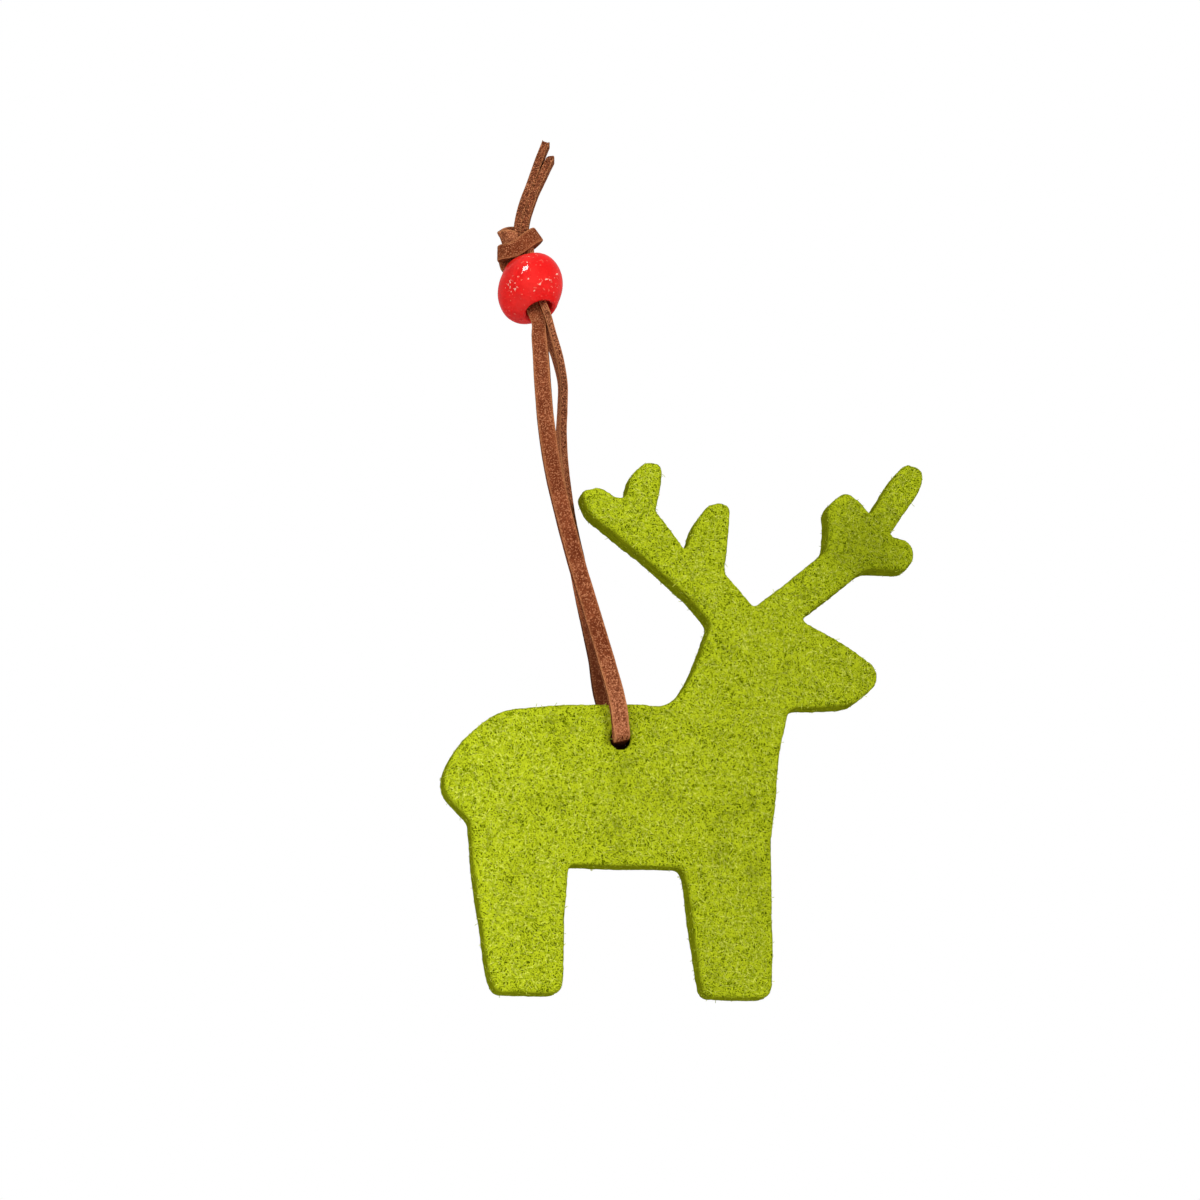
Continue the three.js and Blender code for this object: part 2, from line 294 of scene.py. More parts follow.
rear_strand_route = [
    (0.01253, 0.0035, -0.0703, 0, 0.94),
    (0.01242, 0.0035, -0.0694, 0, 1),
    (0.0123, 0.0035, -0.0684, 0, 1),
    (0.01155, 0.0035, -0.0662, 0, 1),
    (0.0108, 0.0035, -0.0638, 0, 1),
    (0.01025, 0.0035, -0.0608, 0, 1),
    (0.00975, 0.00355, -0.057, 0, 1),
    (0.0088, 0.0037, -0.0521, -4, 1),
    (0.00765, 0.004, -0.0466, -10, 1),
    (0.00615, 0.0043, -0.0388, -22, 1),
    (0.0046, 0.0044, -0.0315, -44, 1),
    (0.0038, 0.00445, -0.0242, -70, 1),
    (0.0033, 0.0037, -0.0157, -84, 1),
    (0.00335, 0.00285, -0.0112, -88, 1),
    (0.00318, 0.0018, -0.0071, -88, 0.98),
    (0.00208, 0.0004, -0.0031, -80, 0.97),
    (0.00088, -0.0005, 0.0002, -76, 0.93),
    (0.00042, -0.0009, 0.0031, -102, 0.89),
    (-0.0004, 0.00008, 0.0065, -112, 0.85),
    (-0.0016, 0.00187, 0.01116, -112, 0.83),
    (-0.0029, 0.00354, 0.01559, -112, 0.83),
]

# The bight goes down behind the felt, forward through its hole, and up again in front. Its ends are
# squeezed so that they slip into the strands.
bight_route = [
    (0.01237, 0.0035, -0.069, 0, 0.9),
    (0.01245, 0.0035, -0.0697, 0, 0.97),
    (0.01252, 0.0035, -0.0702, 0, 1),
    (0.01262, 0.0035, -0.0714, -4, 1),
    (0.0127, 0.00322, -0.07215, -8, 1),
    (0.01275, 0.00255, -0.0725, -10, 1),
    (0.01275, 0, -0.0721, 4, 1),
    (0.01275, -0.00262, -0.0718, 16, 1),
    (0.0127, -0.00326, -0.07157, 16, 1),
    (0.0126, -0.0035, -0.07105, 10, 1),
    (0.01255, -0.0035, -0.0703, 4, 1),
    (0.01249, -0.0035, -0.0697, 0, 0.97),
    (0.01243, -0.0035, -0.069, 0, 0.9),
]


def make_suede():
    """Fine speckled nap, paler along its corners, with dark pits where the hide was cut through, and
    painted shade where its tone is below 0.
    """
    suede, nap = finish("brown_suede")
    place = nap.place()
    cut = nap.marked("cut_edge")
    tone = nap.marked("tone")
    open_grain = nap.marked("pitted").at_least(cut.ramp(0.75, 1))
    corner = cut.ramp(0.05, 0.5) * cut.ramp(1, 0.7)
    speck = nap.grain(place, suede_speck_size)
    blotch = nap.grain(place, suede_blotch_size)
    pore = nap.grain(place, suede_pore_size, 1)
    pale_edge = (nap.marked("rim") * cut.ramp(1, 0.6) * 0.4).at_least(corner * 0.5)
    tint = nap.mix(blotch.ramp(0.35, 0.65), suede_brown, suede_warm_brown)
    tint = nap.mix(tone.ramp(0, 1) * 0.6, tint, suede_pale_tone)
    # Painted shade: a tone below 0 darkens the suede where shade and shadow fall.
    tint = nap.mix(tone.ramp(0, -1) * 0.8, tint, suede_painted_shade)
    tint = nap.mix(speck.ramp(0.5, 0.37) * (0.5 + tone * 0.3), tint, suede_dark_speck)
    tint = nap.mix(speck.ramp(0.52, 0.65) * (0.62 + tone * 0.5), tint, suede_pale_speck)
    tint = nap.mix(pale_edge * (1 + tone), tint, suede_pale_edge)
    tint = nap.mix(pore.ramp(0.47, 0.38) * open_grain * 0.6, tint, suede_pit)
    height = speck + pore.ramp(0.4, 0.55) * open_grain * 1.5
    bump = nap.node("ShaderNodeBump", {}, {"Height": height, "Strength": 0.8, "Distance": suede_bump})
    sockets = {"Base Color": tint, "Roughness": 0.9, "Normal": bump, "Specular IOR Level": 0.01}
    hide = nap.node("ShaderNodeBsdfPrincipled", {}, sockets)
    nap.node("ShaderNodeOutputMaterial", {}, {"Surface": hide})
    return suede


def smooth_route(route, step, closed=False):
    """Rows every step of the way along a smooth curve through a route's rows."""
    rows = np.array(route, float)
    if closed:
        rows = np.vstack([rows[-2:], rows, rows[:3]])
    reach = np.concatenate([[0], np.cumsum(np.linalg.norm(np.diff(rows[:, :3], axis=0), axis=1))])
    slope = np.gradient(rows, reach, axis=0)
    first, last = (reach[2], reach[-3]) if closed else (0, reach[-1])
    at = np.linspace(first, last, round((last - first) / step) + 1)
    if closed:
        at = at[:-1]
    i = np.clip(np.searchsorted(reach, at, side="right") - 1, 0, len(rows) - 2)
    gap = (reach[i + 1] - reach[i])[:, None]
    t = (at - reach[i])[:, None] / gap
    held = (1 + 2 * t) * (1 - t) ** 2 * rows[i] + t**2 * (3 - 2 * t) * rows[i + 1]
    return held + gap * (t * (1 - t) ** 2 * slope[i] - t**2 * (1 - t) * slope[i + 1])


def directions(places, closed=False):
    """The direction along a line at each of its places."""
    if closed:
        steps = np.roll(places, -1, axis=0) - np.roll(places, 1, axis=0)
    else:
        steps = np.gradient(places, axis=0)
    return steps / np.linalg.norm(steps, axis=1)[:, None]


def turned_from_x(along, turn):
    """The direction of the lace's width, turned from X about the lace by so many degrees."""
    across = Vector((1, 0, 0)) - along * along.x
    return Quaternion(along, math.radians(turn)) @ across.normalized()


def lace_section():
    """Rows of across and through, in metres from the middle, round the lace's section."""
    edge = lace_width / 2 - lace_corner
    face = lace_thickness / 2 - lace_corner
    rows = []
    for quarter, (side, front) in enumerate(((1, 1), (-1, 1), (-1, -1), (1, -1))):
        for i in range(lace_corner_steps + 1):
            angle = (quarter + i / lace_corner_steps) * math.pi / 2
            across = side * edge + lace_corner * math.cos(angle)
            rows.append((across, front * face + lace_corner * math.sin(angle)))
        if quarter % 2 == 0:
            for i in range(1, lace_face_steps):
                rows.append((side * edge * (1 - 2 * i / lace_face_steps), front * lace_thickness / 2))
    return rows


def roughen(mesh, depth, size):
    """Moves each point of a mesh along its normal, up to depth, in bumps of this size."""
    moves = [v.normal * depth * noise.noise(v.co / size) for v in mesh.vertices]
    for v, move in zip(mesh.vertices, moves):
        v.co += move


def mark(mesh, name, values):
    """Puts one number on each point of a mesh, under a name that nodes can read."""
    layer = mesh.attributes.new(name, "FLOAT", "POINT")
    layer.data.foreach_set("value", np.array(values, np.float32))


def closed_solid(name, points, faces):
    """A new piece with these points and faces, shaded smooth."""
    mesh = bpy.data.meshes.new(name)
    mesh.from_pydata(points, [], faces)
    mesh.shade_smooth()
    return show(name, mesh)


def lay_lace(name, places, widths, squeezes, closed=False, ends=None, pitted=0, tone=None):
    """The lace laid along places, each with the direction of its width and its squeeze.
    ends gives how far a point of the last end stands out, from its share of the way through the lace.
    pitted gives how open the hide's grain is all over, from 0 to 1.
    tone gives how pale a place is, from -1 for the darkest painted shade to 1 for the palest."""
    section = lace_section()
    along = directions(places, closed)
    count = len(places)
    points = []
    length_left = np.linalg.norm(np.diff(places, axis=0), axis=1)[::-1].cumsum()[::-1]
    for i in range(count):
        forward = Vector(along[i])
        across = Vector(widths[i])
        across = (across - forward * across.dot(forward)).normalized()
        through = forward.cross(across)
        left = 0 if i == count - 1 else length_left[i]
        for x, y in section:
            out = 0
            if ends and left < end_reach:
                out = ends(2 * y / lace_thickness) * (1 - left / end_reach)
            spot = Vector(places[i]) + (across * x + through * y) * squeezes[i] + forward * out
            points.append(spot)
    size = len(section)
    faces = []
    for i in range(count if closed else count - 1):
        near, far = i * size, ((i + 1) % count) * size
        for j in range(size):
            k = (j + 1) % size
            faces.append((near + j, near + k, far + k, far + j))
    reach = [lace_width / 2 - abs(x) for x, _ in section]
    cut = [max(0, 1 - gap / lace_corner) for gap in reach] * count
    rim = [max(0, 1 - gap / lace_rim) for gap in reach] * count
    if not closed:
        first, last = len(points), len(points) + 1
        tip = Vector(along[-1]) * (ends(0) if ends else 0)
        points += [Vector(places[0]), Vector(places[-1]) + tip]
        cut += [1, 1]
        rim += [0, 0]
        for j in range(size):
            k = (j + 1) % size
            faces.append((first, k, j))
            faces.append((last, (count - 1) * size + j, (count - 1) * size + k))
    made = closed_solid(name, points, faces)
    if ends:
        last_ring = range((count - 1) * size, count * size)
        edges = [all(v in last_ring for v in edge.vertices) for edge in made.data.edges]
        made.data.attributes.new("sharp_edge", "BOOLEAN", "EDGE").data.foreach_set("value", edges)
    mark(made.data, "cut_edge", cut)
    mark(made.data, "rim", rim)
    mark(made.data, "pitted", [pitted] * len(points))
    mark(made.data, "tone", [tone(point) if tone else 0 for point in points])
    roughen(made.data, bow_depth, bow_size)
    roughen(made.data, nap_depth, nap_size)
    made.data.materials.append(suede)
    return made


def lay_route(name, route, **how):
    """The lace laid along a route of places, turns and squeezes."""
    rows = smooth_route(route, lace_step)
    places = rows[:, :3]
    widths = [turned_from_x(Vector(a), turn) for a, turn in zip(directions(places), rows[:, 3])]
    return lay_lace(name, places, widths, rows[:, 4], **how), places


def between(value, low, high):
    """The share of the way from low to high, kept between 0 and 1."""
    return min(1, max(0, (value - low) / (high - low)))


def changed_tone(place, changes):
    """The tone at a place: the sum of what the changes have reached at its height."""
    return sum(amount * between(place.z, start, full) for amount, start, full in changes)


def front_tone(place):
    """Paler towards where it goes into the felt, and a little where it comes out of the bead."""
    return changed_tone(place, front_tones)


def rear_tone(place):
    """Darkest just above the felt, where the front strand's shadow is painted, and pale from half way
    up.
    """
    return changed_tone(place, rear_tones)


def bight_tone(place):
    """Like the strand that it runs into, but with painted shade inside the felt and pale along its fold
    in front.
    """
    inside = between(abs(place.y), hole_shade_start, hole_shade_full)
    if place.y > 0:
        outside = rear_tone(place)
    else:
        outside = front_tone(place) + between(place.z, fold_start, fold_full)
    return outside * (1 - inside) - inside


def tie_to_lace(piece, *nodes):
    """Fixes a piece of suede to the lace, where it takes the place of these nodes of the part."""
    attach(piece, "lace")
    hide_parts(*nodes)


suede = make_suede()
front_strand, front_line = lay_route("lace_front_strand_suede", front_strand_route, tone=front_tone)
rear_strand, rear_line = lay_route("lace_rear_strand_suede", rear_strand_route, tone=rear_tone)
bight, _ = lay_route("lace_bight_suede", bight_route, tone=bight_tone)
tie_to_lace(front_strand, "lace_front_strand")
tie_to_lace(rear_strand, "lace_rear_strand")
tie_to_lace(bight, "lace_bight")

# The reindeer
# One piece of thick lime-green felt, wool fibres matted flat, stamped out with a die.
# Pale curled fibres lie over darker gaps on its faces, and its cut edges are pressed and darker.
felt_green = colour(114, 131, 0)
felt_light_green = colour(142, 159, 6)
felt_gap_green = colour(54, 68, 0)
felt_streak_green = colour(210, 224, 40)
felt_dim_green = colour(74, 84, 4)
felt_edge_dark = colour(92, 98, 6)
felt_edge_light = colour(134, 142, 14)
# Painted shade for the walls inside the hole.
felt_hole_painted_shade = colour(18, 18, 6)
fibre_green = colour(172, 191, 4)
fibre_pale_green = colour(248, 255, 104)
fibre_blotch_green = colour(136, 148, 6)
fibre_dim_green = colour(96, 106, 8)
felt_gap_size = 0.00032
felt_blotch_size = 0.007
felt_bump = 0.00015
fibre_shade_size = 0.0005
curl_size = 0.0012
curl_reach = 0.0009
streak_length = 0.0016
streak_width = 0.00018
streak_angles = (12, 48, 85, 121, 158)
streak_shift = (0.001, 0.002, 0)
edge_streak_length = 0.0022
edge_streak_width = 0.00022
noise_middle = (0.5, 0.5, 0.5)

felt_voxel = 0.00042
felt_merge_distance = felt_voxel / 100
felt_worn_edge_rounds = 3
felt_lump_depth = 0.00018
felt_lump_size = 0.006
felt_pile_depth = 0.00008
felt_pile_size = 0.0009
hole_centre = Vector((0.0128, 0, -0.0722))
hole_rim = 0.0026
hole_swell = 0.00035
hole_swell_half_depth = 0.0024
hole_reach = 0.0034
fibre_reach = 0.0028
fibre_margin = 0.0011

# The share of a point's normal that looks out of the sheet: on a wall it is under wall_normal, and on a
# face over face_normal. The look of a cut edge starts at uncut_normal and is full at cut_normal.
wall_normal = 0.5
face_normal = 0.93
uncut_normal = 0.8
cut_normal = 0.3

# Each change of the felt's dimness has its full amount, where along the reindeer it starts and where
# it is full. The hub of the front antler is dimmer still.
dim_changes = [(0.3, -0.012, 0.014), (0.35, 0.014, 0.06)]
antler_hub = Vector((0.0575, -0.0025, -0.036))
hub_dimness = 0.45
hub_inner, hub_outer = 0.003, 0.011

fibre_steps = 6
fibre_sides = 3
fibre_shortest, fibre_longest = 0.6, 1.4
fibre_place_seed = 7
fibre_turn_seed = 3
fibre_length_seed = 5
face_fibres = {
    "Length": 0.0026,
    "Radius": 0.00005,
    "Bend": 0.0009,
    "Bend size": 0.0012,
    "Density": 1800000,
    "Flatness": 0.14,
    "Overhang": 0.0001,
}
edge_fibres = {
    "Length": 0.00045,
    "Radius": 0.000035,
    "Bend": 0.0002,
    "Bend size": 0.0006,
    "Density": 800000,
    "Flatness": 1.0,
    "Overhang": 0.0001,
}


def make_felt():
    """Pale streaks that lie every way over darker gaps, a pressed cut edge streaked lengthwise, and
    painted shade on the walls inside the hole.
    """
    felt, mat = finish("lime_felt")
    place = mat.place()
    cut = mat.marked("cut_edge")
    inside = mat.marked("painted_hole_shade")
    curl = mat.vector("SUBTRACT", mat.grain(place, curl_size, 1, 1), noise_middle)
    bend = mat.vector("MULTIPLY", curl, (curl_reach, curl_reach, curl_reach))
    bent = mat.vector("ADD", place, bend)
    fibres = None
    for angle in streak_angles:
        sockets = {
            "Vector": bent,
            "Location": tuple(shift * angle for shift in streak_shift),
            "Rotation": (0, math.radians(angle), 0),
            "Scale": (streak_length, streak_width, streak_width),
        }
        laid = mat.node("ShaderNodeMapping", {"vector_type": "TEXTURE"}, sockets)
        layer = mat.grain(laid, 1, 0).ramp(0.56, 0.66)
        fibres = layer if fibres is None else fibres.at_least(layer)
    gap = mat.grain(place, felt_gap_size, 1).ramp(0.55, 0.42)
    blotch = mat.grain(place, felt_blotch_size)
    tint = mat.mix(blotch.ramp(0.3, 0.7), felt_green, felt_light_green)
    tint = mat.mix(gap * 0.9, tint, felt_gap_green)
    tint = mat.mix(fibres * 0.9, tint, felt_streak_green)
    tint = mat.mix(mat.marked("dim") * 0.5, tint, felt_dim_green)
    # Painted shade on the walls inside the hole.
    tint = mat.mix(inside, tint, felt_hole_painted_shade)
    sockets = {"Vector": place, "Scale": (edge_streak_length, edge_streak_width, edge_streak_length)}
    pressed = mat.node("ShaderNodeMapping", {"vector_type": "TEXTURE"}, sockets)
    edge_tint = mat.mix(mat.grain(pressed, 1).ramp(0.35, 0.65), felt_edge_dark, felt_edge_light)
    tint = mat.mix(cut * (1 - inside) * 0.8, tint, edge_tint)
    height = (fibres - gap) * (1 - cut * 0.6)
    bump = mat.node("ShaderNodeBump", {}, {"Height": height, "Strength": 0.6, "Distance": felt_bump})
    sockets = {"Base Color": tint, "Roughness": 0.95, "Normal": bump, "Specular IOR Level": 0}
    wool = mat.node("ShaderNodeBsdfPrincipled", {}, sockets)
    mat.node("ShaderNodeOutputMaterial", {}, {"Surface": wool})
    return felt


def make_fibre_finish():
    """Single wool fibres: the palest green, and a little yellower or greener from place to place."""
    wool, thread = finish("lime_fibre")
    place = thread.place()
    shade = thread.grain(place, fibre_shade_size, 1)
    blotch = thread.grain(place, felt_blotch_size)
    tint = thread.mix(shade.ramp(0.35, 0.65), fibre_green, fibre_pale_green)
    tint = thread.mix(blotch.ramp(0.45, 0.3) * 0.5, tint, fibre_blotch_green)
    tint = thread.mix(thread.marked("dim") * 0.5, tint, fibre_dim_green)
    sockets = {"Base Color": tint, "Roughness": 0.9, "Specular IOR Level": 0}
    strand = thread.node("ShaderNodeBsdfPrincipled", {}, sockets)
    thread.node("ShaderNodeOutputMaterial", {}, {"Surface": strand})
    return wool


def settled(piece):
    """The piece with its modifiers worked in, as a plain mesh."""
    bpy.context.view_layer.update()
    worked = piece.evaluated_get(bpy.context.evaluated_depsgraph_get())
    final = bpy.data.meshes.new_from_object(worked)
    piece.modifiers.clear()
    piece.data = final
    final.shade_smooth()
    return piece


def room_round(mesh, here, there):
    """For each point of a mesh that is here, how far off the nearest point that is there lies."""
    nearest = KDTree(sum(there))
    for v in mesh.vertices:
        if there[v.index]:
            nearest.insert(v.co, v.index)
    nearest.balance()
    return [nearest.find(v.co)[2] if here[v.index] else 0 for v in mesh.vertices]


def dimness(place):
    """The felt is a little darker towards the muzzle and the front antler, most of all at its hub."""
    hub = 1 - between((place - antler_hub).length, hub_inner, hub_outer)
    dim = sum(amount * between(place.x, start, full) for amount, start, full in dim_changes)
    return dim + hub_dimness * hub


def make_sheet():
    """The stamped sheet with softly worn edges and the slight lumps of matted wool."""
    solid = bmesh.new()
    solid.from_mesh(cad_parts["felt_reindeer"].data)
    bmesh.ops.remove_doubles(solid, verts=solid.verts, dist=felt_merge_distance)
    mesh = bpy.data.meshes.new("felt_reindeer_sheet")
    solid.to_mesh(mesh)
    solid.free()
    sheet = show("felt_reindeer_sheet", mesh)
    remeshed = sheet.modifiers.new("even mesh", "REMESH")
    remeshed.mode = "VOXEL"
    remeshed.voxel_size = felt_voxel
    worn = sheet.modifiers.new("worn edges", "SMOOTH")
    worn.iterations = felt_worn_edge_rounds
    mesh = settled(sheet).data
    for v in mesh.vertices:
        out = Vector((v.co.x, 0, v.co.z)) - Vector((hole_centre.x, 0, hole_centre.z))
        if out.length < hole_rim:
            swell = hole_swell * max(0, 1 - (v.co.y / hole_swell_half_depth) ** 2)
            v.co -= out.normalized() * swell
    axis_gap = [math.hypot(v.co.x - hole_centre.x, v.co.z - hole_centre.z) for v in mesh.vertices]
    near_hole = [gap < hole_reach for gap in axis_gap]
    outward = [abs(v.normal.y) for v in mesh.vertices]
    wall = [share < wall_normal for share in outward]
    face = [share > face_normal for share in outward]
    room = [max(pair) for pair in zip(room_round(mesh, face, wall), room_round(mesh, wall, face))]
    grown = [
        flat and gap > fibre_reach and free > fibre_margin
        for flat, gap, free in zip(face, axis_gap, room)
    ]
    mark(mesh, "room", room)
    mark(mesh, "cut_edge", [between(share, uncut_normal, cut_normal) for share in outward])
    # The walls inside the hole are marked for painted shade.
    mark(mesh, "painted_hole_shade", [a and b for a, b in zip(wall, near_hole)])
    mark(mesh, "dim", [dimness(v.co) for v in mesh.vertices])
    mark(mesh, "front", [flat and v.normal.y < 0 for flat, v in zip(grown, mesh.vertices)])
    mark(mesh, "back", [flat and v.normal.y > 0 for flat, v in zip(grown, mesh.vertices)])
    mark(mesh, "outer_edge", [a and not b for a, b in zip(wall, near_hole)])
    roughen(mesh, felt_lump_depth, felt_lump_size)
    roughen(mesh, felt_pile_depth, felt_pile_size)
    mesh.materials.clear()
    mesh.materials.append(make_felt())
    return sheet


def make_fibre_tree():
    """Thin tubes that lie on a surface, each turned its own way and bent by its place."""
    tree = bpy.data.node_groups.new("loose_fibres", "GeometryNodeTree")
    grow = Nodes(tree)
    tree.interface.new_socket("Geometry", in_out="INPUT", socket_type="NodeSocketGeometry")
    tree.interface.new_socket("Geometry", in_out="OUTPUT", socket_type="NodeSocketGeometry")
    tree.interface.new_socket("Where", in_out="INPUT", socket_type="NodeSocketString")
    tree.interface.new_socket("Finish", in_out="INPUT", socket_type="NodeSocketMaterial")
    for size in face_fibres:
        tree.interface.new_socket(size, in_out="INPUT", socket_type="NodeSocketFloat")

    def given(name):
        return grow.node("NodeGroupInput", {}, {}, name)

    def carried(name):
        return grow.node("GeometryNodeInputNamedAttribute", {"data_type": "FLOAT"}, {"Name": name})

    # The places of the fibres, and the way the surface faces there.
    density = carried(given("Where")) * given("Density")
    sockets = {"Mesh": given("Geometry"), "Density": density, "Seed": fibre_place_seed}
    spots = grow.node("GeometryNodeDistributePointsOnFaces", {}, sockets)
    lying = Value(grow, spots.socket.node.outputs["Rotation"])

    # One straight thread on each place, turned its own way, and no longer than there is room for.
    sockets = {"Start": (-0.5, 0, 0), "End": (0.5, 0, 0)}
    line = grow.node("GeometryNodeCurvePrimitiveLine", {}, sockets)
    thread = grow.node("GeometryNodeResampleCurve", {}, {"Curve": line, "Count": fibre_steps})
    sockets = {"Min": (0, 0, -math.pi), "Max": (0, 0, math.pi), "Seed": fibre_turn_seed}
    spin = grow.node("FunctionNodeRandomValue", {"data_type": "FLOAT_VECTOR"}, sockets)
    turn = grow.node("FunctionNodeEulerToRotation", {}, {"Euler": spin})
    sockets = {"Rotation": lying, "Rotate By": turn}
    turned = grow.node("FunctionNodeRotateRotation", {"rotation_space": "LOCAL"}, sockets)
    sockets = {2: fibre_shortest, 3: fibre_longest, "Seed": fibre_length_seed}
    share = grow.node("FunctionNodeRandomValue", {"data_type": "FLOAT"}, sockets, 1)
    length = (share * given("Length")).at_most(carried("room") * 2 + given("Overhang"))
    sockets = {"Points": spots, "Instance": thread, "Rotation": turned, "Scale": length}
    laid = grow.node("GeometryNodeInstanceOnPoints", {}, sockets)
    loose = grow.node("GeometryNodeRealizeInstances", {}, {"Geometry": laid})

    # The bends: a thread's points are moved by where they lie, and less off the face than along it.
    place = grow.node("GeometryNodeInputPosition", {}, {})
    sockets = {"Vector": place, "Scale": 1 / given("Bend size"), "Detail": 0.0}
    sway = grow.vector("SUBTRACT", grow.node("ShaderNodeTexNoise", {}, sockets, 1), noise_middle)
    reach = given("Bend") * 2
    sockets = {"X": reach, "Y": reach * given("Flatness"), "Z": reach}
    sway = grow.vector("MULTIPLY", sway, grow.node("ShaderNodeCombineXYZ", {}, sockets))
    bent = grow.node("GeometryNodeSetPosition", {}, {"Geometry": loose, "Offset": sway})

    # The thickness and the finish.
    sockets = {"Resolution": fibre_sides, "Radius": given("Radius")}
    ring = grow.node("GeometryNodeCurvePrimitiveCircle", {}, sockets)
    sockets = {"Curve": bent, "Profile Curve": ring, "Fill Caps": True}
    tubes = grow.node("GeometryNodeCurveToMesh", {}, sockets)
    whole = grow.node("GeometryNodeRealizeInstances", {}, {"Geometry": tubes})
    sockets = {"Geometry": whole, "Material": given("Finish")}
    done = grow.node("GeometryNodeSetMaterial", {}, sockets)
    grow.node("NodeGroupOutput", {}, {"Geometry": done})
    return tree


def grow_fibres(name, where, sizes):
    """Fibres on the places of the sheet that an attribute marks."""
    piece = show(name, sheet.data.copy())
    growth = piece.modifiers.new("fibres", "NODES")
    growth.node_group = fibre_tree
    given = {"Where": where, "Finish": fibre_finish, **sizes}
    for socket in fibre_tree.interface.items_tree:
        if socket.in_out == "INPUT" and socket.name in given:
            growth[socket.identifier] = given[socket.name]
    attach(settled(piece), "reindeer")


sheet = make_sheet()
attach(sheet, "reindeer")
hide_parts("felt_reindeer")
fibre_finish = make_fibre_finish()
fibre_tree = make_fibre_tree()
grow_fibres("felt_front_fibres", "front", face_fibres)
grow_fibres("felt_back_fibres", "back", face_fibres)
grow_fibres("felt_edge_fibres", "outer_edge", edge_fibres)

# The bead
# One turned wooden ball, drilled through and dipped in thick red lacquer, a little out of round.
# Both strands fill its bore. The lacquer has a run across the front, and bubbles on the left.
lacquer_red = colour(240, 28, 27)
lacquer_light_red = colour(250, 46, 42)
lacquer_dust = colour(255, 130, 110)
# The pale chips on the run and the bubbles are partly chipped lacquer and partly painted highlight.
lacquer_chip_and_glint = colour(255, 206, 186)
lacquer_cloud_size = 0.005
lacquer_ripple_size = 0.0018
lacquer_ripple_bump = 0.00045
lacquer_dust_size = 0.0005
lacquer_chip_and_glint_size = 0.0007

bead_centre = Vector((-0.00272, 0.0022, 0.01075))
bore_upward = Vector((-0.265, 0.34, 0.902)).normalized()
bead_radius = 0.0062
bead_half_length = 0.0053
bore_radius = 0.0024
mouth_rounding = 0.0006
mouth_radius = bore_radius + mouth_rounding
mouth_blend = 3 * mouth_rounding
bead_sides = 288
bead_arc_steps = 110
mouth_arc_steps = 10
bore_steps = 12
bead_long_way = np.array((0.357, -0.2994, 0.8848))
bead_short_way = np.array((-0.9163, 0.0718, 0.3939))
bead_out_of_round = 0.085
sag_depth = 0.00006
sag_size = 0.003
run_line = [
    (-0.048, -0.903, -0.428),
    (0.152, -0.963, -0.223),
    (0.269, -0.957, -0.106),
    (0.472, -0.878, -0.078),
    (0.669, -0.732, 0.128),
    (0.722, -0.662, 0.201),
]
run_step = 0.01
run_width = 0.00022
run_height = 0.00007
run_fullness = 0.6
run_lumps_per_radius = 9
bubble_count = 70
bubble_patch = (-0.679, -0.714, -0.12)
patch_spread = 0.13
patch_bubble_count = 34
bubble_radius = 0.00013
bubble_height = 0.00006
bubble_smallest, bubble_largest = 0.6, 1.5
bubble_seed = 11
# How pale a bubble's top is painted, as chipped lacquer and painted highlight.
bubble_chip_and_glint = 0.75


def make_lacquer():
    """Glossy red with small ripples and specks of dust. The pale specks on the bubbles and the run are
    partly chipped lacquer and partly painted highlight.
    """
    lacquer, coat = finish("red_lacquer")
    place = coat.place()
    ripple = coat.grain(place, lacquer_ripple_size, 3)
    dust = coat.grain(place, lacquer_dust_size, 0)
    cloud = coat.grain(place, lacquer_cloud_size)
    patches = coat.grain(place, lacquer_chip_and_glint_size, 1).ramp(0.42, 0.56)
    # The worn mark carries pale chips that are partly chipped lacquer and partly painted highlight.
    chip_and_glint = (coat.marked("worn") * patches).ramp(0.35, 0.6)
    tint = coat.mix(cloud.ramp(0.35, 0.65), lacquer_red, lacquer_light_red)
    tint = coat.mix(dust.ramp(0.72, 0.78) * 0.5, tint, lacquer_dust)
    tint = coat.mix(chip_and_glint * 0.85, tint, lacquer_chip_and_glint)
    sockets = {"Height": ripple, "Strength": 1, "Distance": lacquer_ripple_bump}
    bump = coat.node("ShaderNodeBump", {}, sockets)
    sockets = {
        "Base Color": tint,
        "Roughness": 0.5,
        "Normal": bump,
        "Specular IOR Level": 0,
        "Coat Weight": 0.5,
        "Coat Roughness": 0.06,
        "Coat IOR": 1.3,
    }
    gloss = coat.node("ShaderNodeBsdfPrincipled", {}, sockets)
    coat.node("ShaderNodeOutputMaterial", {}, {"Surface": gloss})
    return lacquer


def bead_profile():
    """Radius and height round the bead's section: up the bore, over the mouth, down the outside."""
    lip_angle = math.acos(mouth_radius / bead_radius)
    crown = bead_half_length / math.sin(lip_angle)
    straight = bead_half_length - mouth_rounding
    rows = [(bore_radius, straight * (2 * i / bore_steps - 1)) for i in range(1, bore_steps)]
    for i in range(mouth_arc_steps + 1):
        angle = math.pi - i / mouth_arc_steps * math.pi / 2
        radius = mouth_radius + mouth_rounding * math.cos(angle)
        rows.append((radius, straight + mouth_rounding * math.sin(angle)))
    for i in range(1, bead_arc_steps):
        angle = lip_angle * (1 - 2 * i / bead_arc_steps)
        rows.append((bead_radius * math.cos(angle), crown * math.sin(angle)))
    for i in range(mouth_arc_steps + 1):
        angle = math.pi / 2 + i / mouth_arc_steps * math.pi / 2
        radius = mouth_radius + mouth_rounding * math.cos(angle)
        rows.append((radius, -straight - mouth_rounding * math.sin(angle)))
    return rows


def run_shape(ways):
    """The run in the lacquer, from 0 to 1 in each direction from the bead's centre."""
    line = smooth_route(run_line, run_step)
    near = np.array([np.linalg.norm(line - way, axis=1).min() for way in ways]) * bead_radius
    lumps = [run_fullness + noise.noise(Vector(way) * run_lumps_per_radius) for way in ways]
    lumps = np.array(lumps)
    return lumps.clip(0, 1) * np.exp(-((near / run_width) ** 2))


